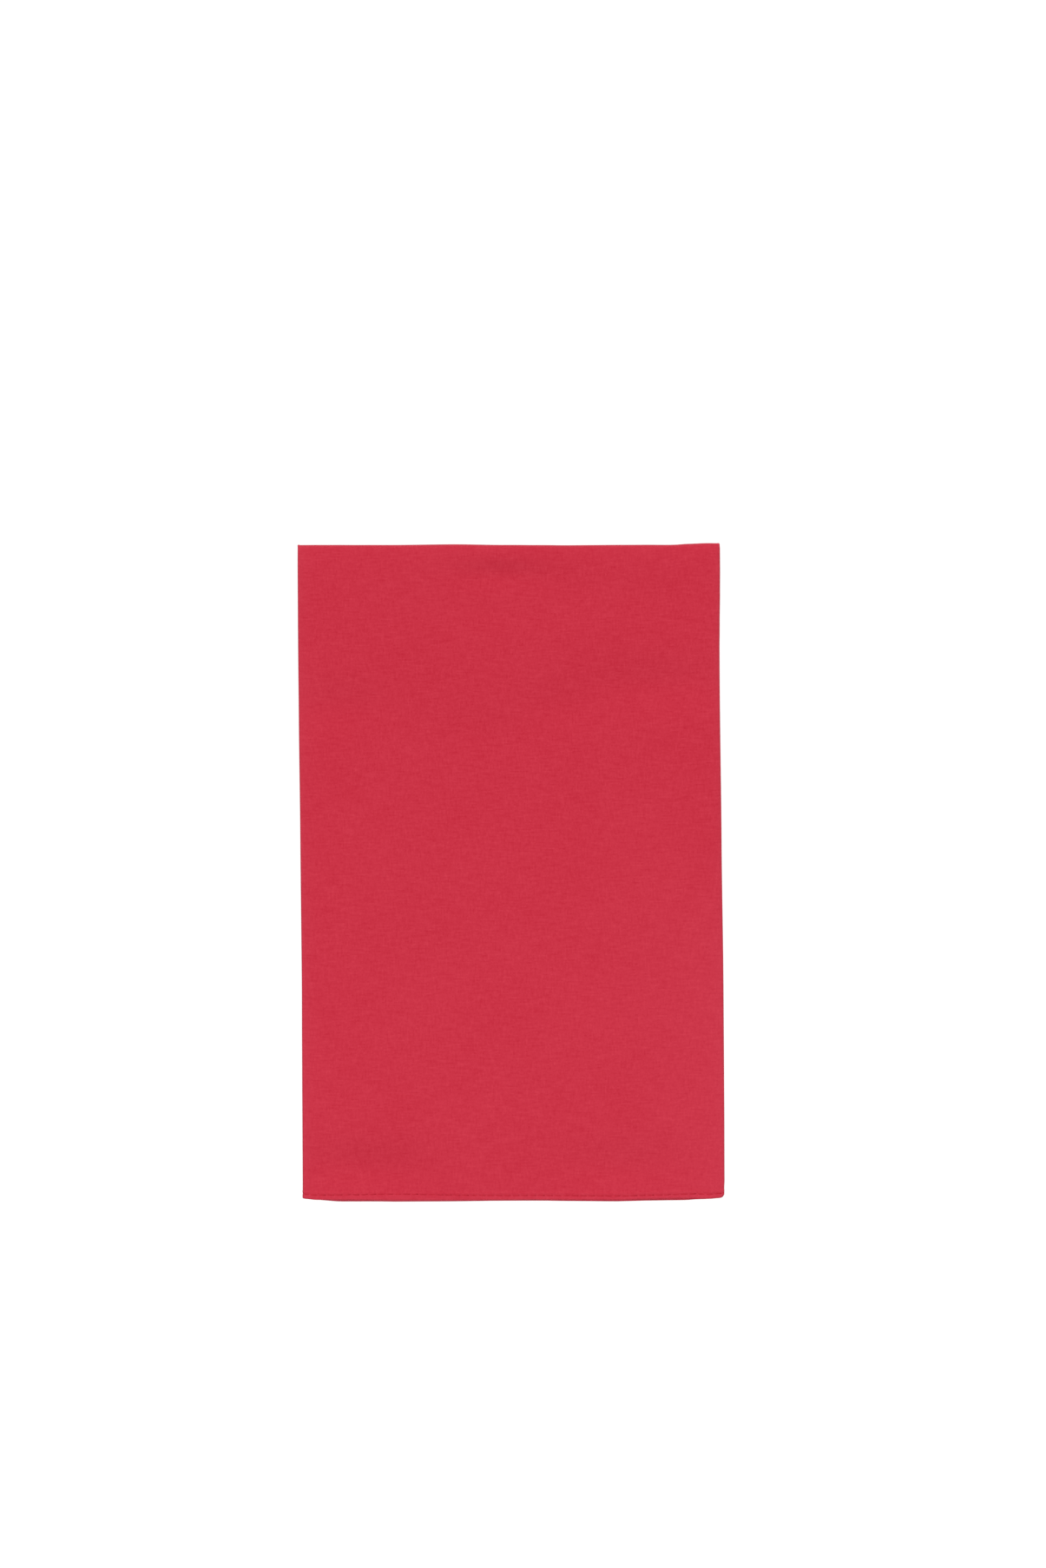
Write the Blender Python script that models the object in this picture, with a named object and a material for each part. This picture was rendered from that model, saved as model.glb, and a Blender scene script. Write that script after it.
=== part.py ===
"""A square cotton wrapping cloth, folded in thirds and then in half, lying flat.

+X runs across the folded cloth, +Y from its open hems to its half fold, +Z up.
The origin is on the surface it rests on, under the middle of its outline.

The cloth starts as a flat sheet, u across and v along. The first fold lays its left
and right flaps on the middle panel, one on the other. The second folds that strip in
half with the flaps inside, so the clean outer panel faces both up and down, and the
hem end shows six layers.
"""

import math

import bmesh
import bpy

MM = 0.001

# Driving dimensions, in metres
FOLDED_WIDTH = 145.4 * MM
FOLDED_LENGTH = 226.2 * MM
SHEET = 1.0 * MM
LAYER_GAP = 0.3 * MM

# How far each flap's free edge stays short of the fold that it reaches towards
LEFT_FLAP_SHORT = 2.2 * MM
RIGHT_FLAP_SHORT = 3.0 * MM
# The flaps' free edges aren't quite parallel to the folds: half the difference end to end
FLAP_SKEW = 0.7 * MM
# The half fold isn't quite square: the lower half leans this far to the left at its hem
HALF_SKEW = 0.4 * MM

# The half fold is pressed: its nose is an ellipse this deep for a height of 1
PRESSED_NOSE = 0.62

# The cut edges are rounded off: the last RIM of the sheet thins to RIM_SHARE of it
RIM = 0.35 * MM
RIM_SHARE = 0.45

# The stack is loose by this share of its height where it puffs up most
LOOSENESS = 0.09
# The puff is lower at the side folds than in the middle, by this share
SIDE_DROP = 0.4

# Linear red, green, blue and alpha of the dyed cotton
CLOTH_RED = (0.597, 0.036, 0.065, 1.0)

# Steps of the mesh: across a panel, round a side fold, along a panel, round the half fold
PANEL_STEPS = 8
SIDE_FOLD_STEPS = 6
LENGTH_STEPS = 10
HALF_FOLD_STEPS = 10

# How the side folds stray from straight. Columns: place along Y as a share of half the
# length, then the left and the right fold's shift along X
SIDE_WANDER = (
    (-1.00, 0.20 * MM, -0.30 * MM),
    (-0.95, 0.25 * MM, 0.10 * MM),
    (-0.35, 0.45 * MM, 0.20 * MM),
    (0.10, 0.30 * MM, -0.10 * MM),
    (0.62, 0.05 * MM, -0.35 * MM),
    (0.85, 0.05 * MM, 0.00 * MM),
    (1.00, 0.05 * MM, 0.10 * MM),
)

# How the two ends stray from straight. Columns: place along X as a share of half the
# width, then the hem end's and the half fold's shift along Y
END_WANDER = (
    (-1.00, 1.20 * MM, 0.10 * MM),
    (-0.85, 0.65 * MM, 0.05 * MM),
    (-0.45, 0.20 * MM, -0.10 * MM),
    (0.10, 0.25 * MM, -0.45 * MM),
    (0.55, -0.15 * MM, -0.70 * MM),
    (0.80, 0.05 * MM, -0.75 * MM),
    (0.90, 0.35 * MM, -0.35 * MM),
    (1.00, 0.75 * MM, -0.30 * MM),
)

# How far the hem stays short of the folded length. Columns: place across the flat sheet,
# then the hem of the lower half and of the upper half
HEM_SHORT = (
    ("left flap's edge", 0.9 * MM, 1.1 * MM),
    ("left fold", 0.3 * MM, 0.1 * MM),
    ("right fold", 0.2 * MM, 0.0 * MM),
    ("right flap's edge", 1.2 * MM, 0.7 * MM),
)

# Where the stack puffs up. Columns: place along Y as a share of half the length, then
# the share of LOOSENESS there
PUFF_ALONG = (
    (-1.00, 0.55),
    (-0.65, 1.00),
    (-0.20, 0.10),
    (0.25, 0.00),
    (0.70, 0.90),
    (1.00, 0.25),
)

PITCH = SHEET + LAYER_GAP
HALF_WIDTH = FOLDED_WIDTH / 2
HALF_LENGTH = FOLDED_LENGTH / 2

# The left flap lies next to the panel; the right flap lies on the left one
LEFT_TURN = PITCH / 2
RIGHT_TURN = PITCH
LEFT_TURN_X = -HALF_WIDTH + SHEET / 2 + LEFT_TURN
RIGHT_TURN_X = HALF_WIDTH - SHEET / 2 - RIGHT_TURN
PANEL = RIGHT_TURN_X - LEFT_TURN_X
LEFT_FLAP = PANEL - LEFT_FLAP_SHORT
RIGHT_FLAP = PANEL - RIGHT_FLAP_SHORT
LEFT_FLAP_START = LEFT_TURN_X - math.pi * LEFT_TURN
RIGHT_FLAP_START = RIGHT_TURN_X + math.pi * RIGHT_TURN

# The strip's three layers, and half a gap, fold round a core at this height
CORE = 3 * PITCH - LAYER_GAP / 2
OUTER_REACH = CORE - SHEET / 2

# The outer panel's way: half of its turn round the core, a quarter of an ellipse, then
# straight to the hem. The layers inside it are drawn longer, so that all the hems meet
HALF_TURN = math.pi / 2 * OUTER_REACH * math.sqrt((1 + PRESSED_NOSE**2) / 2)
STRAIGHT = FOLDED_LENGTH - CORE + (1 - PRESSED_NOSE) * OUTER_REACH
HALF_SHEET = HALF_TURN + STRAIGHT


def eased(rows, place, column):
    """Read a column of a table at a place, easing from each row to the next."""
    for before, after in zip(rows, rows[1:]):
        if place <= after[0]:
            break
    share = (place - before[0]) / (after[0] - before[0])
    share = min(max(share, 0.0), 1.0)
    share = share * share * (3 - 2 * share)
    return before[column] + (after[column] - before[column]) * share


def stations(start, runs):
    """Places along a line from its start: each run is a length and its even steps."""
    places = [start]
    for length, steps in runs:
        start = places[-1]
        places += [start + length * step / steps for step in range(1, steps + 1)]
    return places


def stations_across():
    """Places across the flat sheet, from the left flap's free edge to the right flap's."""
    runs = (
        (RIM, 1),
        (LEFT_FLAP - RIM, PANEL_STEPS),
        (math.pi * LEFT_TURN, SIDE_FOLD_STEPS),
        (PANEL, PANEL_STEPS),
        (math.pi * RIGHT_TURN, SIDE_FOLD_STEPS),
        (RIGHT_FLAP - RIM, PANEL_STEPS),
        (RIM, 1),
    )
    return stations(LEFT_FLAP_START - LEFT_FLAP, runs)


def stations_along():
    """Places along the flat sheet, from the lower half's hem to the upper half's."""
    runs = (
        (RIM, 1),
        (STRAIGHT - RIM, LENGTH_STEPS),
        (2 * HALF_TURN, HALF_FOLD_STEPS),
        (STRAIGHT - RIM, LENGTH_STEPS),
        (RIM, 1),
    )
    return stations(-HALF_SHEET, runs)


def skewed(u, v):
    """Shift a place on a flap, more towards its free edge, so that the edge runs askew."""
    if u < LEFT_FLAP_START:
        return u - FLAP_SKEW * v / HALF_SHEET * (LEFT_FLAP_START - u) / LEFT_FLAP
    if u > RIGHT_FLAP_START:
        return u + FLAP_SKEW * v / HALF_SHEET * (u - RIGHT_FLAP_START) / RIGHT_FLAP
    return u


def fold_in_thirds(u, inward):
    """Take a point of the flat sheet to its x and its depth below the outer face."""
    if u < LEFT_TURN_X:
        turn, centre, side = LEFT_TURN, LEFT_TURN_X, -1
    elif u > RIGHT_TURN_X:
        turn, centre, side = RIGHT_TURN, RIGHT_TURN_X, 1
    else:
        return u, SHEET / 2 + inward
    past = abs(u - centre)
    angle = min(past / turn, math.pi)
    flap = max(past - math.pi * turn, 0.0)
    radius = turn - inward
    x = centre + side * (radius * math.sin(angle) - flap)
    return x, SHEET / 2 + turn - radius * math.cos(angle)


def hem_short(u, column):
    """How far the hem at this place across the sheet stays short of the full length."""
    left_edge, left_fold, right_fold, right_edge = (row[column] for row in HEM_SHORT)
    if u < LEFT_TURN_X:
        share = min((LEFT_TURN_X - u) / LEFT_FLAP, 1.0)
        return left_fold + (left_edge - left_fold) * share
    if u > RIGHT_TURN_X:
        share = min((u - RIGHT_TURN_X) / RIGHT_FLAP, 1.0)
        return right_fold + (right_edge - right_fold) * share
    return left_fold + (right_fold - left_fold) * (u - LEFT_TURN_X) / PANEL


def fold_in_half(u, v, depth):
    """Take a point of the folded strip to its y and z."""
    reach = CORE - depth
    turn_y = HALF_LENGTH - CORE + (1 - PRESSED_NOSE) * reach
    angle = math.pi / 2 * max(min(v / HALF_TURN, 1.0), -1.0)
    y = turn_y + PRESSED_NOSE * reach * math.cos(angle)
    hem_y = hem_short(u, 1 if v < 0 else 2) - HALF_LENGTH
    along = max(abs(v) - HALF_TURN, 0.0) / STRAIGHT
    return y + (hem_y - turn_y) * along, CORE + reach * math.sin(angle)


def settle(x, y, z):
    """Make the neat folded cloth as uneven as the real one, and leave its underside flat."""
    across = x / HALF_WIDTH
    along = y / HALF_LENGTH
    left, right = (eased(SIDE_WANDER, along, column) for column in (1, 2))
    hem, fold = (eased(END_WANDER, across, column) for column in (1, 2))
    puff = eased(PUFF_ALONG, along, 1) * (1 - SIDE_DROP * across**2)
    x += left + (right - left) * (across + 1) / 2
    y += hem + (fold - hem) * (along + 1) / 2
    return x, y, z * (1 + LOOSENESS * puff)


def cotton():
    """Plain woven cotton, dyed red."""
    material = bpy.data.materials.new("red cotton")
    material.use_nodes = True
    shader = material.node_tree.nodes["Principled BSDF"]
    shader.inputs["Base Color"].default_value = CLOTH_RED
    shader.inputs["Roughness"].default_value = 0.85
    shader.inputs["Metallic"].default_value = 0.0
    return material


def flat_slab(columns, rows):
    """A flat slab, two units wide, long and thick, with faces for the columns and rows."""
    mesh = bmesh.new()
    bmesh.ops.create_grid(mesh, x_segments=columns, y_segments=rows, size=1.0)
    bmesh.ops.translate(mesh, verts=mesh.verts[:], vec=(0, 0, -1))
    raised = bmesh.ops.extrude_face_region(mesh, geom=mesh.faces[:])["geom"]
    raised = [item for item in raised if isinstance(item, bmesh.types.BMVert)]
    bmesh.ops.translate(mesh, verts=raised, vec=(0, 0, 2))
    bmesh.ops.recalc_face_normals(mesh, faces=mesh.faces[:])
    return mesh


def folded_cloth():
    """The whole cloth as one solid: a flat slab whose points are then folded over."""
    us = stations_across()
    vs = stations_along()
    last_column = len(us) - 1
    last_row = len(vs) - 1
    mesh = flat_slab(last_column, last_row)
    for vert in mesh.verts:
        column = round((vert.co.x + 1) / 2 * last_column)
        row = round((vert.co.y + 1) / 2 * last_row)
        at_rim = column in (0, last_column) or row in (0, last_row)
        inward = vert.co.z * SHEET / 2 * (RIM_SHARE if at_rim else 1)
        u, v = us[column], vs[row]
        x, depth = fold_in_thirds(skewed(u, v), inward)
        lean = HALF_SKEW * min(v, 0.0) / HALF_SHEET
        y, z = fold_in_half(u, v, depth)
        vert.co = settle(x + lean, y, z)
    data = bpy.data.meshes.new("folded_cloth")
    mesh.to_mesh(data)
    mesh.free()
    data.materials.append(cotton())
    data.shade_smooth()
    data.set_sharp_from_angle(angle=math.radians(50))
    return bpy.data.objects.new("folded_cloth", data)


for leftover in list(bpy.data.objects):
    bpy.data.objects.remove(leftover)

furoshiki = bpy.data.collections.new("furoshiki wrap")
bpy.context.scene.collection.children.link(furoshiki)
furoshiki.objects.link(folded_cloth())
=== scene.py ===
# %% [markdown]
# # A folded furoshiki
#
# A furoshiki is a hemmed square of cotton that wraps a gift. This one lies as it is sold:
# folded in thirds across, then in half, so that its clean side faces out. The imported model
# gives the size and place. This script makes the cloth itself, thin and woven, on the
# same folds, with its hem and stitches.

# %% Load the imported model
import math

import bmesh
import bpy
import numpy as np
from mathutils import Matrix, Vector


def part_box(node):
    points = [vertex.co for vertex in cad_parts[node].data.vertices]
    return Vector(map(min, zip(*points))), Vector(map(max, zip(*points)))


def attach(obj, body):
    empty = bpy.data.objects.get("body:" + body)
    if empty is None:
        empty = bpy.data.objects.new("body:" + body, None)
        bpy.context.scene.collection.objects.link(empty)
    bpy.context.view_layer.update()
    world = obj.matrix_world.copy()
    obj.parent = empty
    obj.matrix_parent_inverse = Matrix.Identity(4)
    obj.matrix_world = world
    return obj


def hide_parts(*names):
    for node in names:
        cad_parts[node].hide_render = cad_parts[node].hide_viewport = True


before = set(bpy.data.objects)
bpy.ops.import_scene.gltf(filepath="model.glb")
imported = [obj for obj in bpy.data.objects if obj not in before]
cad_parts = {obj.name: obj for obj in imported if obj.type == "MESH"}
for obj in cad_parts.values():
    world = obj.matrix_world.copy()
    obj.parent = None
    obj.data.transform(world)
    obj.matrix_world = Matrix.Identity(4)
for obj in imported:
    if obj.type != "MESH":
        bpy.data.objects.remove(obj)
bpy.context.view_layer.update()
low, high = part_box("folded_cloth")
MM = 0.001
print("solid, in mm:", [round(side / MM, 1) for side in high - low])

# %% [markdown]
# ## Sizes
#
# The outline and the height follow the solid. Its edges wander a little, so the
# straight-edged cloth that we fold first is smaller by that wander, and its height is the
# solid's without the puff. The cotton itself is a third of a millimetre thick, so the six
# layers lie further apart than in the solid.

# %% The folded cloth's sizes
WANDER = 0.2 * MM
HALF_WIDTH = (high.x - low.x) / 2 - WANDER
HALF_LENGTH = (high.y - low.y) / 2 - WANDER / 2
UNPUFFED = 0.92
STACK = UNPUFFED * high.z
CLOTH = 0.32 * MM
LAYERS = 6
PITCH = (STACK - CLOTH) / (LAYERS - 1)
print("layer to layer, in mm:", round(PITCH / MM, 2))

# %% [markdown]
# ## Two folds
#
# The sheet starts flat: u runs across it, v along it, and w through its thickness, with
# w positive on the wrong side. The first fold turns the left flap onto the middle panel
# and the right flap onto both, and the second takes that strip over itself. Blender's
# cloth simulation could fold it too, but thin layers that lie this close catch on each
# other. A formula for whole arrays of points is quick, and it folds space itself, so
# layers can't cross. A turn is half an ellipse, blunt where the iron pressed it, so a
# point's way round it is an angle.

# %% Where the sheet turns
# How far a side turn and the half fold stick out, as a share of their half height
PRESSED_SIDE = 0.7
PRESSED_NOSE = 0.36
# How far each flap stays short of the fold that it reaches towards
LEFT_SHORT = 2.2 * MM
RIGHT_SHORT = 3.0 * MM


def way_round(turn, pressed):
    """How much cloth a half ellipse takes, from its half height and how blunt it is."""
    return math.pi * turn * math.sqrt((1 + pressed**2) / 2)


LEFT_TURN = PITCH / 2
RIGHT_TURN = PITCH
LEFT_ROUND = way_round(LEFT_TURN, PRESSED_SIDE)
RIGHT_ROUND = way_round(RIGHT_TURN, PRESSED_SIDE)
LEFT_TURN_X = -HALF_WIDTH + PRESSED_SIDE * (LEFT_TURN + CLOTH / 2)
RIGHT_TURN_X = HALF_WIDTH - PRESSED_SIDE * (RIGHT_TURN + CLOTH / 2)
PANEL = RIGHT_TURN_X - LEFT_TURN_X
LEFT_FLAP = PANEL - LEFT_SHORT
RIGHT_FLAP = PANEL - RIGHT_SHORT
LEFT_EDGE = LEFT_TURN_X - LEFT_ROUND - LEFT_FLAP
RIGHT_EDGE = RIGHT_TURN_X + RIGHT_ROUND + RIGHT_FLAP

CORE = STACK / 2
OUTER_REACH = CORE - CLOTH / 2
HALF_TURN = way_round(OUTER_REACH, PRESSED_NOSE) / 2
STRAIGHT = 2 * HALF_LENGTH - CORE + (1 - PRESSED_NOSE) * OUTER_REACH
HALF_SHEET = HALF_TURN + STRAIGHT
FLAT_SIZE = (RIGHT_EDGE - LEFT_EDGE, 2 * HALF_SHEET)
print("flat cloth, in mm:", [round(side / MM) for side in FLAT_SIZE])


# %% Fold in thirds
def fold_in_thirds(u, w):
    """Take points of the flat sheet to their x and their depth under the outer face."""
    left = u < LEFT_TURN_X
    bent = left | (u > RIGHT_TURN_X)
    turn = np.where(left, LEFT_TURN, RIGHT_TURN)
    round_length = np.where(left, LEFT_ROUND, RIGHT_ROUND)
    centre = np.where(left, LEFT_TURN_X, RIGHT_TURN_X)
    past = np.abs(u - centre)
    angle = math.pi * np.minimum(past / round_length, 1)
    flap = np.maximum(past - round_length, 0)
    radius = turn - w
    bulge = PRESSED_SIDE * radius * np.sin(angle)
    bent_x = centre + np.where(left, -1, 1) * (bulge - flap)
    bent_depth = CLOTH / 2 + turn - radius * np.cos(angle)
    return np.where(bent, bent_x, u), np.where(bent, bent_depth, CLOTH / 2 + w)


flap_edges = fold_in_thirds(np.array([LEFT_EDGE, RIGHT_EDGE]), 0.0)
print("the flaps' free edges, x and depth in mm:", *[(part / MM).round(1) for part in flap_edges])

# %% Fold in half
CORNER = 9 * MM

# Columns: place across the flat sheet, how far the lower and the upper half's hems stay
# short there, in mm. The upper flaps lie askew and peep out, apart from their corners
HEM_SHORT = (
    (LEFT_EDGE, 0.9, 0.3),
    (LEFT_EDGE + CORNER, 0.8, -0.4),
    (LEFT_TURN_X, 0.3, 0.3),
    (RIGHT_TURN_X, 0.2, 0.25),
    (RIGHT_EDGE - CORNER, 1.1, -0.45),
    (RIGHT_EDGE, 1.2, 0.25),
)


def hem_short(u, v):
    """How far the hem there stays short of the folded length."""
    places, lower, upper = zip(*HEM_SHORT)
    return MM * np.where(v < 0, np.interp(u, places, lower), np.interp(u, places, upper))


def fold_in_half(u, v, depth):
    """Take points of the folded strip to their y and z."""
    reach = CORE - depth
    turn_y = HALF_LENGTH - CORE + (1 - PRESSED_NOSE) * reach
    angle = math.pi / 2 * np.clip(v / HALF_TURN, -1, 1)
    y = turn_y + PRESSED_NOSE * reach * np.cos(angle)
    hem_y = hem_short(u, v) - HALF_LENGTH
    along = np.maximum(np.abs(v) - HALF_TURN, 0) / STRAIGHT
    return y + (hem_y - turn_y) * along, CORE + reach * np.sin(angle)


nose = fold_in_half(0.0, 0.0, CLOTH / 2)
print("the half fold's nose, y and z in mm:", [round(float(part) / MM, 1) for part in nose])

# %% [markdown]
# ## Uneven, as cloth lies
#
# Neatly spaced layers look like card. Cloth is pinched at its folds, where it was
# pressed, and its layers meet and part in between. They could be sculpted by eye, but
# short tables keep each dent and wave where the photograph shows it. Each of the five
# gaps gets its own change of height, spread over that gap by a smooth step, so the layers
# keep their order. The edges then wander from straight by tenths of a millimetre, most at
# the corners, and soft troughs dent the upper face.

# %% Where the edges wander
# Columns: place along Y in mm, the left fold's and the right fold's shift along X in mm
SIDE_WANDER = (
    (-113, 0.20, -0.60),
    (-111.7, 0.22, -0.03),
    (-109.8, 0.22, 0.00),
    (-107, 0.24, 0.13),
    (-80, 0.31, 0.21),
    (-60, 0.36, 0.24),
    (-41, 0.44, 0.25),
    (10, 0.27, -0.05),
    (58, 0.04, -0.27),
    (76, 0.01, -0.28),
    (85, 0.01, -0.16),
    (95, 0.03, 0.02),
    (104, 0.03, 0.11),
    (111.8, 0.06, 0.13),
    (113.1, -0.25, 0.50),
)

# Columns: place along X in mm, the hem end's and the half fold's shift along Y in mm
END_WANDER = (
    (-72.8, 1.10, 0.45),
    (-71.5, 0.92, 0.18),
    (-68, 0.60, 0.17),
    (-60, 0.54, 0.12),
    (-50, 0.44, 0.03),
    (-38, 0.22, -0.05),
    (-20, 0.14, 0.04),
    (0, 0.18, -0.33),
    (10, 0.18, -0.46),
    (20, 0.04, -0.60),
    (36, -0.11, -0.57),
    (46, 0.12, -0.60),
    (56, 0.22, -0.70),
    (62, 0.28, -0.36),
    (68, 0.03, -0.18),
    (71.4, 0.22, -0.22),
    (72.8, 0.44, 0.15),
)
print("places along a side and an end:", len(SIDE_WANDER), len(END_WANDER))


# %% Helpers for smooth curves
# Waves added up reach about this many times the root of their number
WAVE_PEAK = 1.5


def smooth_step(share):
    """Ease from 0 to 1."""
    share = np.clip(share, 0, 1)
    return share * share * (3 - 2 * share)


def eased(rows, place, column):
    """Read a table's column at places, easing from each row to the next."""
    stops = np.array([row[0] for row in rows], float)
    values = np.array([row[column] for row in rows], float)
    before = np.clip(np.searchsorted(stops, place) - 1, 0, len(stops) - 2)
    share = (place - stops[before]) / (stops[before + 1] - stops[before])
    return values[before] + (values[before + 1] - values[before]) * smooth_step(share)


def soft_waves(x, y, seed, longest, shortest, count=7):
    """Smooth waves from -1 to 1 over the plane, in all directions, from one seed."""
    dice = np.random.default_rng(seed)
    total = np.zeros_like(x)
    for _ in range(count):
        heading, phase = dice.uniform(0, 2 * math.pi, 2)
        wave = 2 * math.pi / dice.uniform(shortest, longest)
        total += np.sin(wave * (x * math.cos(heading) + y * math.sin(heading)) + phase)
    return total / count**0.5 / WAVE_PEAK


# %% Gaps that close at the folds
# How much each gap closes at a fold, as a share of the pitch; a negative share opens it.
# Columns: the five gaps, from the lowest up
PINCH = {
    "left fold": (0.36, 0.02, 0.00, 0.02, 0.28),
    "right fold": (0.34, 0.28, -0.20, 0.22, 0.28),
    "half fold": (0.20, 0.12, 0.12, 0.14, 0.18),
    "hem end": (0.05, 0.00, 0.10, 0.05, 0.05),
}
PINCH_REACH = 4.0 * MM
MOST_PINCH = 0.6
GAP_NOISE = 0.27 * MM
GAP_SEED = 20
GAP_WAVES = {"longest": 90 * MM, "shortest": 30 * MM}


def near(distance):
    """1 at a fold, fading away from it."""
    return np.exp(-np.maximum(distance, 0) / PINCH_REACH)


def gap_changes(x, y):
    """How much each of the five gaps between the layers grows, in metres."""
    closeness = {
        "left fold": near(x + HALF_WIDTH),
        "right fold": near(HALF_WIDTH - x),
        "half fold": near(HALF_LENGTH - y),
        "hem end": near(y + HALF_LENGTH),
    }
    noise = [soft_waves(x, y, GAP_SEED + gap, **GAP_WAVES) for gap in range(LAYERS - 1)]
    middle = sum(noise) / len(noise)
    changes = []
    for gap, own in enumerate(noise):
        pinch = sum(share[gap] * closeness[place] for place, share in PINCH.items())
        changes.append(GAP_NOISE * (own - middle) - PITCH * np.minimum(pinch, MOST_PINCH))
    return changes


at_middle = gap_changes(np.zeros(1), np.zeros(1))
print("gaps at the middle, in mm:", [round((PITCH + change[0]) / MM, 2) for change in at_middle])

# %% Troughs in the upper face
# Columns: centre X and Y, half width in X and in Y, depth, all in mm
TROUGHS = (
    (-3, 102.3, 17, 4.5, 1.45),
    (-5, 93, 20, 9.0, 0.75),
    (24, 97, 14, 8.0, 0.40),
    (50, 95, 14, 12.0, 0.50),
    (-50, -102, 21, 7.5, 1.35),
    (38, -102, 22, 7.5, 0.95),
    (-60, 57, 16, 8.0, 0.90),
    (18, 57, 14, 8.0, 0.75),
    (52, 64, 25, 8.5, 1.25),
    (-5, 48, 20, 8.0, 0.45),
    (58, -70, 20, 34.0, 0.50),
)
FACE_WAVE = 0.10 * MM
FACE_SEED = 3
FACE_WAVES = {"longest": 110 * MM, "shortest": 50 * MM}


def upper_face(x, y):
    """How much the upper face rises or falls from soft troughs and waves, in metres."""
    rise = FACE_WAVE * soft_waves(x, y, FACE_SEED, **FACE_WAVES)
    for centre_x, centre_y, half_x, half_y, depth in TROUGHS:
        away = ((x / MM - centre_x) / half_x) ** 2 + ((y / MM - centre_y) / half_y) ** 2
        rise -= depth * MM * np.exp(-away)
    return rise


trough_x, trough_y = MM * np.array(TROUGHS)[:, :2].T
print("deepest trough, in mm:", round(-upper_face(trough_x, trough_y).min() / MM, 1))

# %% Settle the folded cloth
# The puff is a share of the height. Columns: place along Y as a share of half the
# length, share of the full puff
PUFF = 0.09
PUFF_ALONG = ((-1.0, 0.55), (-0.65, 1.0), (-0.2, 0.1), (0.25, 0.0), (0.7, 0.9), (1.0, 0.25))
LOST_AT_SIDES = 0.4
# The lower half's hem lies this much further left
LOWER_LEAN = 0.2 * MM


def settle(x, y, z):
    """Press, puff and dent the neat stack, and let its outline wander."""
    lifted = z + upper_face(x, y) * smooth_step(z / STACK)
    for gap, change in enumerate(gap_changes(x, y)):
        layer_height = CLOTH / 2 + gap * PITCH
        lifted += change * smooth_step((z - layer_height) / PITCH)
    across = x / HALF_WIDTH
    along = y / HALF_LENGTH
    puff = PUFF * eased(PUFF_ALONG, along, 1) * (1 - LOST_AT_SIDES * across**2)
    left, right = (MM * eased(SIDE_WANDER, y / MM, column) for column in (1, 2))
    hem, fold = (MM * eased(END_WANDER, x / MM, column) for column in (1, 2))
    moved_x = x + left + (right - left) * (across + 1) / 2
    moved_y = y + hem + (fold - hem) * (along + 1) / 2
    return np.stack((moved_x, moved_y, lifted * (1 + puff)), axis=-1)


def lay(u, v, w):
    """Take points of the flat sheet to their places in the folded cloth."""
    x, depth = fold_in_thirds(u, w)
    y, z = fold_in_half(u, v, depth)
    return settle(x + LOWER_LEAN * np.minimum(v, 0) / HALF_SHEET, y, z)


face_middle = lay(np.zeros(1), np.full(1, HALF_SHEET / 2), np.zeros(1))[0]
print("the upper face's middle, x, y and z in mm:", (face_middle / MM).round(1))

# %% [markdown]
# ## The hem
#
# The edge is turned under twice, so the last 2.7 mm have three thicknesses of cloth. The
# two extra ones lie on the wrong side, pressed so tight that turns modelled inside them
# wouldn't show, so the sheet is simply thicker there. On the right side the hem is a
# faint ridge, with a groove where the stitches pull the cloth down. The two faces of the
# sheet are placed by how far a point is from the nearest edge.

# %% Distances on the hem
HEM = 2.7 * MM

# Columns: place across the sheet as a share of its half, the stitch line's distance
# from the edge in mm. The seam isn't sewn quite straight
STITCH_WANDER = (
    (-1.0, 1.8),
    (-0.3, 1.7),
    (-0.18, 2.2),
    (0.0, 1.55),
    (0.2, 1.35),
    (0.34, 1.7),
    (1.0, 1.9),
)


def edge_distance(u, v):
    """How far points of the flat sheet are from its nearest edge."""
    side_distance = np.minimum(u - LEFT_EDGE, RIGHT_EDGE - u)
    return np.minimum(side_distance, HALF_SHEET - np.abs(v))


def stitch_inset(u):
    """How far in from the edge the stitch line runs."""
    return MM * eased(STITCH_WANDER, u / (FLAT_SIZE[0] / 2), 1)


# %% The hem's shape through the thickness
EDGE_ROUND = 0.36 * MM
# Where the rounding starts, as a share of it, so that the rim keeps some thickness
ROUND_START = 0.02
RIDGE = 0.10 * MM
EXTRA_CLOTH = 1.7 * CLOTH
GROOVE = 0.14 * MM
WRONG_SIDE_GROOVE = 0.5 * GROOVE
GROOVE_WIDTH = 0.30 * MM
# The hem's inner edge slopes down over this width, from this far inside the hem
SLOPE = 0.35 * MM
SLOPE_START = 0.2 * MM


def face_heights(u, v):
    """How far the right side and the wrong side are from the sheet's middle."""
    inside = edge_distance(u, v)
    hem = 1 - smooth_step((inside - HEM + SLOPE_START) / SLOPE)
    rounding = np.sqrt(1 - (1 - np.clip(inside / EDGE_ROUND, ROUND_START, 1)) ** 2)
    groove = np.exp(-(((inside - stitch_inset(u)) / GROOVE_WIDTH) ** 2))
    right_side = CLOTH / 2 + RIDGE * hem - GROOVE * groove
    wrong_side = CLOTH / 2 + EXTRA_CLOTH * hem - WRONG_SIDE_GROOVE * groove
    middle = (wrong_side - right_side) / 2
    half = (wrong_side + right_side) / 2 * rounding
    return half - middle, half + middle


hem_thickness = sum(face_heights(LEFT_EDGE + HEM / 4, 0.0))
print("thickness near the edge, in mm:", round(float(hem_thickness) / MM, 2))

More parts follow.
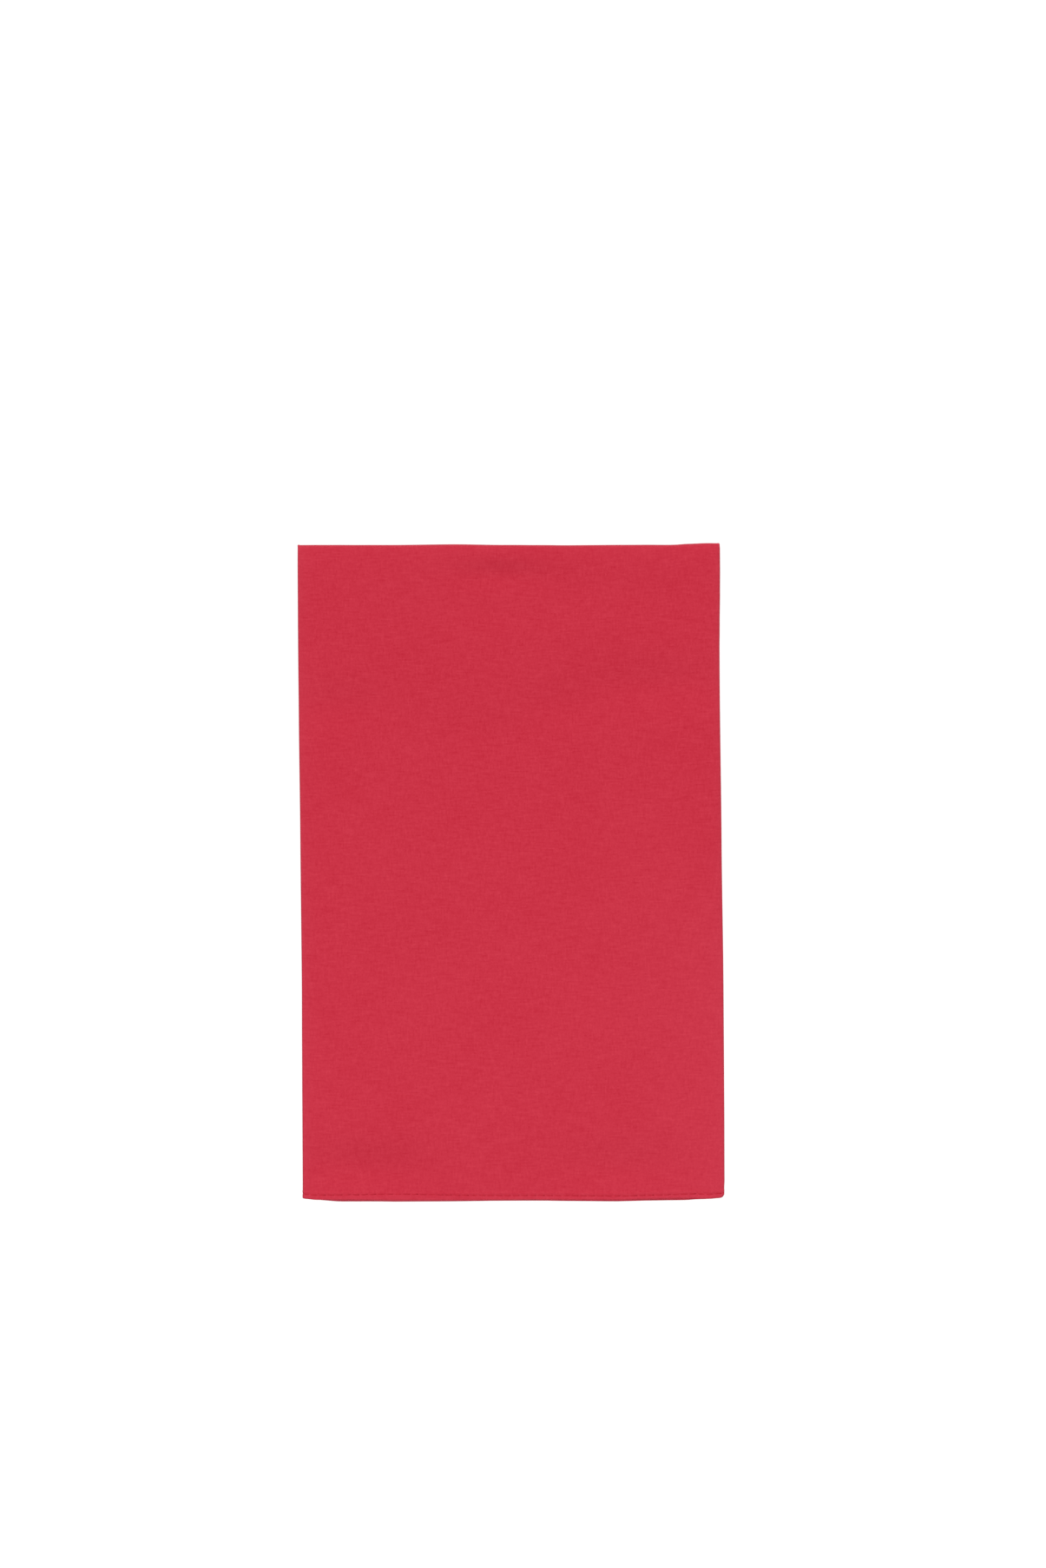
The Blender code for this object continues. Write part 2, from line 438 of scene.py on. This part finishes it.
# %% [markdown]
# ## The mesh
#
# Cloth is threads that cross at right angles, so a grid is its natural mesh. The lines
# stand close at the hems and folds, where the shape turns within a millimetre, and far
# apart on the flat. An evenly fine grid would need millions of faces for that. Blender
# makes the flat grid and gives it thickness, and then every point is moved to its folded
# place. Each point also keeps where it was on the flat sheet, as an attribute, so that
# the weave can run along the threads later, and how much painted sheen it gets.

# %% Helpers for the grid's lines
def even(length, count):
    """A length in equal steps."""
    return [length / count] * count


def graded(length, fine, coarse, growth=1.25):
    """Steps along a length that grow from a fine one to a coarse one."""
    steps = [fine]
    while sum(steps) < length:
        steps.append(min(steps[-1] * growth, coarse))
    return [step * length / sum(steps) for step in steps]


def from_both_ends(length, fine, coarse):
    """Steps that are fine at both ends of a length and coarse in its middle."""
    half = graded(length / 2, fine, coarse)
    return half + half[::-1]


# %% Lines of the grid
PANEL_STEPS = {"fine": 0.35 * MM, "coarse": 2.6 * MM}
FLAP_STEPS = {"fine": 0.5 * MM, "coarse": 5 * MM}
LEFT_TURN_STEPS = 10
RIGHT_TURN_STEPS = 12
HALF_TURN_STEPS = 24
ROUND_LINES = 5
HEM_STEP = 0.28 * MM
HEM_STEP_COUNT = 9

round_angles = np.linspace(0, math.pi / 2, ROUND_LINES)
HEM_STEPS = list(EDGE_ROUND * -np.diff(np.cos(round_angles))) + [HEM_STEP] * HEM_STEP_COUNT
HEM_ROOM = sum(HEM_STEPS)


def across_steps():
    """Steps across the sheet: flap, turn, panel, turn, flap."""
    return [
        *HEM_STEPS,
        *from_both_ends(LEFT_FLAP - HEM_ROOM, **FLAP_STEPS),
        *even(LEFT_ROUND, LEFT_TURN_STEPS),
        *from_both_ends(PANEL, **PANEL_STEPS),
        *even(RIGHT_ROUND, RIGHT_TURN_STEPS),
        *from_both_ends(RIGHT_FLAP - HEM_ROOM, **FLAP_STEPS),
        *HEM_STEPS[::-1],
    ]


def along_steps():
    """Steps along the sheet: half, turn, half."""
    half = HEM_STEPS + from_both_ends(STRAIGHT - HEM_ROOM, **PANEL_STEPS)
    return half + even(2 * HALF_TURN, HALF_TURN_STEPS) + half[::-1]


us = LEFT_EDGE + np.concatenate(([0], np.cumsum(across_steps())))
vs = -HALF_SHEET + np.concatenate(([0], np.cumsum(along_steps())))
print("grid lines:", len(us), "by", len(vs))


# %% A flat slab
def points_and_faces(shape):
    """Take a bmesh apart. Its faces come in an order that varies, so they are sorted."""
    shape.verts.index_update()
    points = [vert.co[:] for vert in shape.verts]
    faces = sorted([vert.index for vert in face.verts] for face in shape.faces)
    shape.free()
    return points, faces


def flat_slab(columns, rows):
    """A flat slab from -1 to 1, with faces for the columns and rows."""
    slab = bmesh.new()
    bmesh.ops.create_grid(slab, x_segments=columns, y_segments=rows, size=1.0)
    bmesh.ops.translate(slab, verts=slab.verts[:], vec=(0, 0, -1))
    raised = bmesh.ops.extrude_face_region(slab, geom=slab.faces[:])["geom"]
    raised = [item for item in raised if isinstance(item, bmesh.types.BMVert)]
    bmesh.ops.translate(slab, verts=raised, vec=(0, 0, 2))
    bmesh.ops.recalc_face_normals(slab, faces=slab.faces[:])
    points, faces = points_and_faces(slab)
    data = bpy.data.meshes.new("cotton cloth")
    data.from_pydata(points, [], faces)
    return data


# %% Where sheen is painted on
# Painted sheen: how far it reaches from the folds and the hems' rims, and how strong it is
FOLD_SHEEN_REACH = 2.0 * MM
FOLD_SHEEN_SHARE = 0.14
HEM_SHEEN_REACH = 1.5 * MM
HEM_SHEEN_SHARE = 0.08
# Painted sheen grows towards the hem ends, over these shares of the half length, and more
# so towards the right, over these shares of the half width
END_SHEEN_SHARE = 0.022
END_SHEEN_START = 0.3
END_SHEEN_REACH = 0.4
RIGHT_SHEEN = 2.5
RIGHT_SHEEN_START = 0.2
RIGHT_SHEEN_REACH = 0.8


def painted_sheen_share(u, v):
    """How much painted sheen there is: along the folds and the hems' rims, and towards the hem
    ends.
    """
    left_fold = LEFT_TURN_X - LEFT_ROUND / 2
    right_fold = RIGHT_TURN_X + RIGHT_ROUND / 2
    away = np.minimum(np.minimum(np.abs(u - left_fold), np.abs(u - right_fold)), np.abs(v))
    # Painted sheen: whiter along the folds and on the hems' rims, fading inwards
    fold_sheen = FOLD_SHEEN_SHARE * np.exp(-away / FOLD_SHEEN_REACH)
    hem_sheen = HEM_SHEEN_SHARE * np.exp(-((edge_distance(u, v) / HEM_SHEEN_REACH) ** 2))
    # Painted sheen: whiter towards the hem ends, and more so towards the right
    to_hem = smooth_step((np.abs(v) / HALF_SHEET - END_SHEEN_START) / END_SHEEN_REACH)
    to_right = smooth_step((u / HALF_WIDTH - RIGHT_SHEEN_START) / RIGHT_SHEEN_REACH)
    return fold_sheen + hem_sheen + END_SHEEN_SHARE * to_hem * (1 + RIGHT_SHEEN * to_right)


print("paler at the half fold:", round(float(painted_sheen_share(0.0, 0.0)), 2))


# %% Fold the slab
def keep_on_points(data, u, v):
    """Store each point's place on the flat sheet, and how much painted sheen it gets."""
    places = data.attributes.new("flat_place", "FLOAT_VECTOR", "POINT")
    flat = np.stack((u, v, np.zeros_like(u)), axis=-1)
    places.data.foreach_set("vector", flat.astype(np.float32).ravel())
    painted_sheen = data.attributes.new("painted_sheen", "FLOAT", "POINT")
    painted_sheen.data.foreach_set("value", painted_sheen_share(u, v).astype(np.float32))


def cloth_mesh():
    """The folded cloth as one closed mesh."""
    data = flat_slab(len(us) - 1, len(vs) - 1)
    corners = np.empty(len(data.vertices) * 3, np.float32)
    data.vertices.foreach_get("co", corners)
    corners = corners.reshape(-1, 3).astype(float)
    u = us[np.rint((corners[:, 0] + 1) / 2 * (len(us) - 1)).astype(int)]
    v = vs[np.rint((corners[:, 1] + 1) / 2 * (len(vs) - 1)).astype(int)]
    right_side, wrong_side = face_heights(u, v)
    w = np.where(corners[:, 2] > 0, wrong_side, -right_side)
    data.vertices.foreach_set("co", lay(u, v, w).astype(np.float32).ravel())
    keep_on_points(data, u, v)
    data.update()
    return data


cloth_data = cloth_mesh()
print("cloth, faces:", len(cloth_data.polygons))

# %% [markdown]
# ## The stitches
#
# A lockstitch shows as a row of short threads. Each dives into the cloth at its two
# ends, and the needle hole at its far end holds shadow, which is painted on the thread's
# end as a deep red. Bump could draw them, but seen low along the hem they stand up from
# it, so each is modelled. One stitch is a stretched sphere, bent into a low bow. The same
# small mesh is repeated along all four hems as one joined mesh, and goes through the same
# folds. Each point keeps how much of that painted shadow it gets, for its colour.

# %% The hems and one stitch
def hem_paths():
    """The four hems: how long each is, and where a distance along it is on the sheet."""
    width, length = FLAT_SIZE
    return (
        (width, lambda s, d: (LEFT_EDGE + s, -HALF_SHEET + d)),
        (width, lambda s, d: (LEFT_EDGE + s, HALF_SHEET - d)),
        (length, lambda s, d: (LEFT_EDGE + d, -HALF_SHEET + s)),
        (length, lambda s, d: (RIGHT_EDGE - d, -HALF_SHEET + s)),
    )


def one_stitch():
    """Points of a unit sphere whose poles are the stitch's ends, and its faces."""
    ball = bmesh.new()
    bmesh.ops.create_uvsphere(ball, u_segments=6, v_segments=7, radius=1.0)
    points, faces = points_and_faces(ball)
    return np.array(points), faces


# %% Lay one stitch
STITCH_PITCH = 2.9 * MM
THREAD = 0.26 * MM
# Half a stitch's length as a share of the pitch, how far it slants in mm, how thick it is
# as a share of the thread, and how soon it is as thick as that from its ends
STITCH_HALF = (0.45, 0.5)
SLANT = 0.06
PLUMPNESS = (0.85, 1.15)
FILLING_OUT = 1.6
# How high it bows and how deep its ends sit, as shares of the thread's thickness
BOW = 0.6
SUNK = 0.3
# How dark the painted shadow of the needle hole gets at most, and where it starts and darkens, as
# shares of half the stitch
DARKEST_HOLE_SHADOW = 0.95
HOLE_SHADOW_START = 0.25
HOLE_SHADOW_REACH = 0.3
# Near enough to the stitch line to look up how far in it runs there
ABOUT_INSET = 2 * MM


def lay_stitch(start, ball, to_sheet, dice):
    """A stitch from a place along its hem: its points, and how much painted shadow each gets."""
    reach = STITCH_PITCH * dice.uniform(*STITCH_HALF)
    slant = dice.normal(0, SLANT) * MM
    plump = dice.uniform(*PLUMPNESS)
    s = start + STITCH_PITCH / 2 + reach * ball[:, 2]
    thick = plump * np.minimum(1, FILLING_OUT * np.hypot(ball[:, 0], ball[:, 1]))
    ring = np.arctan2(ball[:, 1], ball[:, 0])
    u, _ = to_sheet(s, ABOUT_INSET)
    inset = stitch_inset(u)
    d = inset + slant * ball[:, 2] + THREAD / 2 * thick * np.cos(ring)
    u, v = to_sheet(s, d)
    right_side, _ = face_heights(*to_sheet(s, inset))
    bow = THREAD * (BOW * np.cos(ball[:, 2] * math.pi / 2) - SUNK)
    w = -(right_side + bow + THREAD / 2 * thick * np.sin(ring))
    # Painted shadow: the far end is coloured darker, by a random share, for the shade in the
    # needle hole
    in_hole_shadow = smooth_step((ball[:, 2] - HOLE_SHADOW_START) / HOLE_SHADOW_REACH)
    return lay(u, v, w), dice.uniform(0, DARKEST_HOLE_SHADOW) * in_hole_shadow


# %% Sew the hems
STITCH_SEED = 5
SEAM_START = 3.2 * MM
SEAM_END = 5 * MM


def stitch_mesh():
    """All the stitches as one mesh."""
    dice = np.random.default_rng(STITCH_SEED)
    ball, faces = one_stitch()
    places = []
    hole_shadows = []
    all_faces = []
    for length, to_sheet in hem_paths():
        for start in np.arange(SEAM_START, length - SEAM_END, STITCH_PITCH):
            offset = len(places) * len(ball)
            points, in_hole_shadow = lay_stitch(start, ball, to_sheet, dice)
            places.append(points)
            hole_shadows.append(in_hole_shadow)
            all_faces += [[offset + index for index in face] for face in faces]
    print("stitches:", len(places))
    data = bpy.data.meshes.new("hem stitches")
    data.from_pydata(np.concatenate(places).tolist(), [], all_faces)
    hole_shadow = data.attributes.new("hole_shadow", "FLOAT", "POINT")
    hole_shadow.data.foreach_set("value", np.concatenate(hole_shadows).astype(np.float32))
    data.update()
    return data


stitch_data = stitch_mesh()

# %% [markdown]
# ## Cotton
#
# The cloth is plain-woven cotton, close to poplin, dyed a warm red. Cotton fibre has an
# IOR near 1.54, but a woven face is so rough that only a dull sheen is left: roughness
# near 0.9, a weak highlight and a little fuzz. The real threads are about a quarter of a
# millimetre apart, which is finer than a pixel of this picture, so the weave is drawn at
# twice that. What the eye does catch is uneven yarn: each thread is thicker and paler in
# some stretches, which makes faint streaks along the weft and the warp. One noise over
# the whole cloth would look like clouds, so each yarn has a noise of its own that runs
# along it.

# %% Colour and node helpers
# A Mix node's colour inputs and output are at these places
MIX_A = 6
MIX_B = 7
MIX_RESULT = 2


def linear(hex_colour):
    """Turn an sRGB hex colour into Blender's linear red, green, blue and alpha."""
    channels = [int(hex_colour[at : at + 2], 16) / 255 for at in (1, 3, 5)]
    return [c / 12.92 if c <= 0.04045 else ((c + 0.055) / 1.055) ** 2.4 for c in channels] + [1]


def add_node(tree, kind, inputs=(), **settings):
    """Add one node. An input is a number or colour, or another node's output to link."""
    node = tree.nodes.new(kind)
    for name, value in settings.items():
        setattr(node, name, value)
    for socket, value in dict(inputs).items():
        if isinstance(value, bpy.types.NodeSocket):
            tree.links.new(value, node.inputs[socket])
        else:
            node.inputs[socket].default_value = value
    return node


def empty_material(name):
    """A new material without nodes."""
    material = bpy.data.materials.new(name)
    material.use_nodes = True
    material.node_tree.nodes.clear()
    return material


# %% The yarns
REAL_PITCH = 0.25 * MM
WEAVE_PITCH = 2 * REAL_PITCH
WEFT_SLUB = 10 * MM
WARP_SLUB = 6.5 * MM
# Each yarn starts somewhere else in the noise, within this length of it
NOISE_LENGTH = 500
MATH = "ShaderNodeMath"
NOISE = "ShaderNodeTexNoise"


def yarn_tone(tree, along, across, slub):
    """One set of yarns: lightness that varies along each yarn, afresh on the next."""
    count = add_node(tree, MATH, {0: across, 1: 1 / WEAVE_PITCH}, operation="MULTIPLY")
    yarn = add_node(tree, MATH, {0: count.outputs[0]}, operation="FLOOR")
    fresh = add_node(
        tree, "ShaderNodeTexWhiteNoise", {"W": yarn.outputs[0]}, noise_dimensions="1D"
    )
    spread = {0: fresh.outputs["Value"], 1: NOISE_LENGTH}
    start = add_node(tree, MATH, spread, operation="MULTIPLY")
    route = {0: along, 1: 1 / slub, 2: start.outputs[0]}
    place = add_node(tree, MATH, route, operation="MULTIPLY_ADD")
    grain = {"W": place.outputs[0], "Scale": 1.0, "Detail": 5.0, "Roughness": 0.88}
    return add_node(tree, NOISE, grain, noise_dimensions="1D").outputs["Fac"]


def weave_height(tree, u, v):
    """Threads that pass over and under: up at one crossing, down at the next."""
    waves = []
    for along in (u, v):
        angle = add_node(tree, MATH, {0: along, 1: math.pi / WEAVE_PITCH}, operation="MULTIPLY")
        wave = add_node(tree, MATH, {0: angle.outputs[0]}, operation="SINE")
        waves.append(wave.outputs[0])
    return add_node(tree, MATH, {0: waves[0], 1: waves[1]}, operation="MULTIPLY").outputs[0]


print("threads across the cloth:", round(FLAT_SIZE[0] / WEAVE_PITCH))

# %% Uneven tone and colour
WEFT_SHARE = 1.0
WARP_SHARE = 0.8
DYE_SHARE = 0.2
DYE_SPOT = 30 * MM
TONE_RANGE = 1.0
DEEP_DYE = "#BC1B32"
LIGHT_DYE = "#D03A4D"
# A lighter, whiter red that the painted sheen mixes towards
PAINTED_SHEEN_RED = "#D65468"
MIX = "ShaderNodeMix"


def cotton_tone(tree, place, u, v):
    """How light the cotton is: the weft, the warp and the dye together."""
    weft = yarn_tone(tree, u, v, WEFT_SLUB)
    warp = yarn_tone(tree, v, u, WARP_SLUB)
    spots = {"Vector": place, "Scale": 1 / DYE_SPOT, "Detail": 1.0}
    dye = add_node(tree, NOISE, spots).outputs["Fac"]
    tone = 0.0
    for layer, share in ((weft, WEFT_SHARE), (warp, WARP_SHARE), (dye, DYE_SHARE)):
        added = {0: layer, 1: share, 2: tone}
        tone = add_node(tree, MATH, added, operation="MULTIPLY_ADD").outputs[0]
    return tone


def cotton_colour(tree, tone):
    """The dye's colour at that tone, mixed towards a whiter red as painted sheen at the folds,
    the hems' rims and the hem ends.
    """
    painted_sheen = add_node(tree, "ShaderNodeAttribute", attribute_name="painted_sheen").outputs["Fac"]
    middle = (WEFT_SHARE + WARP_SHARE + DYE_SHARE) / 2
    lightness = add_node(
        tree,
        "ShaderNodeMapRange",
        {"Value": tone, "From Min": middle - TONE_RANGE / 2, "From Max": middle + TONE_RANGE / 2},
    )
    dyes = {0: lightness.outputs[0], MIX_A: linear(DEEP_DYE), MIX_B: linear(LIGHT_DYE)}
    dyed = add_node(tree, MIX, dyes, data_type="RGBA").outputs[MIX_RESULT]
    # Painted sheen: the colour is mixed towards a lighter, whiter red
    with_sheen = {0: painted_sheen, MIX_A: dyed, MIX_B: linear(PAINTED_SHEEN_RED)}
    return add_node(tree, MIX, with_sheen, data_type="RGBA").outputs[MIX_RESULT]


# %% Poplin
# How much a light, thick stretch of yarn stands up, against the weave's own waves
YARN_RELIEF = 8.0


def red_poplin():
    """Plain-woven red cotton."""
    material = empty_material("red cotton poplin")
    tree = material.node_tree
    place = add_node(tree, "ShaderNodeAttribute", attribute_name="flat_place").outputs["Vector"]
    parts = add_node(tree, "ShaderNodeSeparateXYZ", {0: place})
    u = parts.outputs["X"]
    v = parts.outputs["Y"]
    tone = cotton_tone(tree, place, u, v)
    relief = {0: tone, 1: YARN_RELIEF, 2: weave_height(tree, u, v)}
    height = add_node(tree, MATH, relief, operation="MULTIPLY_ADD")
    raised = {"Height": height.outputs[0], "Strength": 0.4, "Distance": 0.005 * MM}
    bump = add_node(tree, "ShaderNodeBump", raised)
    shader = add_node(
        tree,
        "ShaderNodeBsdfPrincipled",
        {
            "Base Color": cotton_colour(tree, tone),
            "Normal": bump.outputs[0],
            "Roughness": 0.88,
            "IOR": 1.54,
            "Specular IOR Level": 0.15,
            "Sheen Weight": 0.02,
            "Sheen Roughness": 0.5,
            "Sheen Tint": linear("#F2A0AC"),
        },
    )
    add_node(tree, "ShaderNodeOutputMaterial", {"Surface": shader.outputs[0]})
    return material


poplin = red_poplin()
print(poplin.name, "nodes:", len(poplin.node_tree.nodes))

# %% [markdown]
# ## Thread
#
# Sewing thread is spun polyester in the cloth's red, painted a little deeper for the
# shadow that its twist holds. Its IOR is near 1.58, and it is smoother than the cotton. The
# twist could be modelled, but a thread is narrower than a pixel here, so a fine noise of
# painted shade stands for it.

# %% Sewing thread
TWIST = 0.3 * MM
# Two reds of painted shade along the twist, both a little deeper than the cloth
THREAD_SHADE = "#BA2030"
THREAD_LIGHT = "#CA2C3E"
# The deep red of the painted shadow in the needle holes
PAINTED_HOLE_SHADOW = "#960410"


def sewing_thread():
    """Spun polyester thread, with painted shade along its twist and painted shadow at its ends.
    """
    material = empty_material("red spun polyester thread")
    tree = material.node_tree
    place = add_node(tree, "ShaderNodeNewGeometry").outputs["Position"]
    twist = add_node(tree, NOISE, {"Vector": place, "Scale": 1 / TWIST, "Detail": 1.0})
    fibres = {0: twist.outputs["Fac"], MIX_A: linear(THREAD_SHADE), MIX_B: linear(THREAD_LIGHT)}
    spun = add_node(tree, MIX, fibres, data_type="RGBA").outputs[MIX_RESULT]
    # Painted shadow: the ends that dive into the cloth are mixed towards a deep red
    hole_shadow = add_node(tree, "ShaderNodeAttribute", attribute_name="hole_shadow").outputs["Fac"]
    shaded = {0: hole_shadow, MIX_A: spun, MIX_B: linear(PAINTED_HOLE_SHADOW)}
    shader = add_node(
        tree,
        "ShaderNodeBsdfPrincipled",
        {
            "Base Color": add_node(tree, MIX, shaded, data_type="RGBA").outputs[MIX_RESULT],
            "Roughness": 0.75,
            "IOR": 1.58,
            "Specular IOR Level": 0.05,
        },
    )
    add_node(tree, "ShaderNodeOutputMaterial", {"Surface": shader.outputs[0]})
    return material


thread = sewing_thread()
print(thread.name, "nodes:", len(thread.node_tree.nodes))


# %% Make the pieces
def new_piece(name, data, material):
    """Put a mesh in the scene as a smooth piece with one material."""
    data.materials.append(material)
    data.shade_smooth()
    piece = bpy.data.objects.new(name, data)
    bpy.context.scene.collection.objects.link(piece)
    return piece


cloth = new_piece("cloth", cloth_data, poplin)
stitches = new_piece("hem_stitches", stitch_data, thread)
for piece in (cloth, stitches):
    print(piece.name, "triangles:", sum(len(face.vertices) - 2 for face in piece.data.polygons))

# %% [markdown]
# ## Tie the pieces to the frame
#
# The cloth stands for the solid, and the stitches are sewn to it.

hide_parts("folded_cloth")
for piece in (cloth, stitches):
    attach(piece, "root")

# %% [markdown]
# ## Floor, light and camera
#
# The picture is a catalogue shot: straight down, on white, with hardly a shadow. A white
# floor under plain light would turn grey round the cloth, so the floor is a light table
# whose glow washes out the shadow. A broad ceiling gives most of the light from above,
# which leaves the folds' sides a little darker than the top. A soft key light from beyond
# the half fold shows the cloth's gentle dents.

# %% The floor
FLOOR_SIZE = 24.0
FLOOR_DROP = 0.2 * MM


def light_table():
    """A white acrylic light table, lit from below."""
    material = empty_material("white opal acrylic")
    tree = material.node_tree
    shader = add_node(
        tree,
        "ShaderNodeBsdfPrincipled",
        {
            "Base Color": linear("#6E6E6E"),
            "Roughness": 0.9,
            "Specular IOR Level": 0.2,
            "Emission Color": linear("#FFFFFF"),
            "Emission Strength": 0.92,
        },
    )
    add_node(tree, "ShaderNodeOutputMaterial", {"Surface": shader.outputs[0]})
    return material


bpy.ops.mesh.primitive_plane_add(size=FLOOR_SIZE, location=(0, 0, -FLOOR_DROP))
floor = bpy.context.object
floor.name = "floor"
floor.data.materials.append(light_table())
print("floor, in metres:", floor.dimensions[:2])

# %% The light from all round
# The sky is brightest overhead, like a broad white ceiling, and dimmer at the horizon
HORIZON = 0.25
OVERHEAD = 2.375
GATHERED = 8

world = bpy.data.worlds.new("studio")
bpy.context.scene.world = world
world.use_nodes = True
sky_tree = world.node_tree
heading = add_node(sky_tree, "ShaderNodeTexCoord").outputs["Generated"]
upward = add_node(sky_tree, "ShaderNodeSeparateXYZ", {0: heading}).outputs["Z"]
gathered = add_node(sky_tree, MATH, {0: upward, 1: GATHERED}, operation="POWER").outputs[0]
brightness = {0: gathered, 1: OVERHEAD - HORIZON, 2: HORIZON}
strength = add_node(sky_tree, MATH, brightness, operation="MULTIPLY_ADD")
sky = sky_tree.nodes["Background"]
sky.inputs["Color"].default_value = linear("#FFFFFF")
sky_tree.links.new(strength.outputs[0], sky.inputs["Strength"])
print("overhead to horizon, times as bright:", OVERHEAD / HORIZON)


# %% The lamps
def add_lamp(name, kind, place, energy, **settings):
    """A light that faces the cloth."""
    light = bpy.data.lights.new(name, kind)
    light.energy = energy
    for setting, value in settings.items():
        setattr(light, setting, value)
    lamp = bpy.data.objects.new(name, light)
    lamp.location = place
    lamp.rotation_euler = (-Vector(place)).to_track_quat("-Z", "Y").to_euler()
    bpy.context.scene.collection.objects.link(lamp)
    print(name, "at", place)


# The key stands far off beyond the half fold, so it is as strong all over the cloth
add_lamp("key light", "SUN", place=(0.05, 0.8, 0.9), energy=1.235, angle=math.radians(35))
# A small one hangs nearer the hem end, which it lights a little more than the rest
add_lamp("softbox", "AREA", place=(0.0, -0.35, 0.7), energy=0.6, shape="SQUARE", size=0.6)

# %% The camera
# Places in the photograph are in its own pixels, 1205 wide and 1806 high
PHOTO_SIZE = (1205, 1806)
CLOTH_CENTRE = (588.6, 1004.5)
# A pixel's real size at the cloth, and how far the cloth is turned in the picture
PIXEL = 0.2992 * MM
TURNED = math.radians(0.416)
LENS = 100
SENSOR = 36

right_of_cloth = (PHOTO_SIZE[0] / 2 - CLOTH_CENTRE[0]) * PIXEL
above_cloth = (CLOTH_CENTRE[1] - PHOTO_SIZE[1] / 2) * PIXEL
distance = LENS / SENSOR * PHOTO_SIZE[1] * PIXEL
cosine, sine = math.cos(TURNED), math.sin(TURNED)

camera = bpy.data.objects.new("camera", bpy.data.cameras.new("camera"))
camera.data.lens = LENS
camera.data.sensor_width = SENSOR
camera.location = (
    right_of_cloth * cosine + above_cloth * sine,
    above_cloth * cosine - right_of_cloth * sine,
    distance + CORE,
)
camera.rotation_euler = (0, 0, -TURNED)
bpy.context.scene.collection.objects.link(camera)
bpy.context.scene.camera = camera
bpy.context.scene.view_settings.view_transform = "Standard"
print("camera to cloth, in mm:", round(distance / MM))
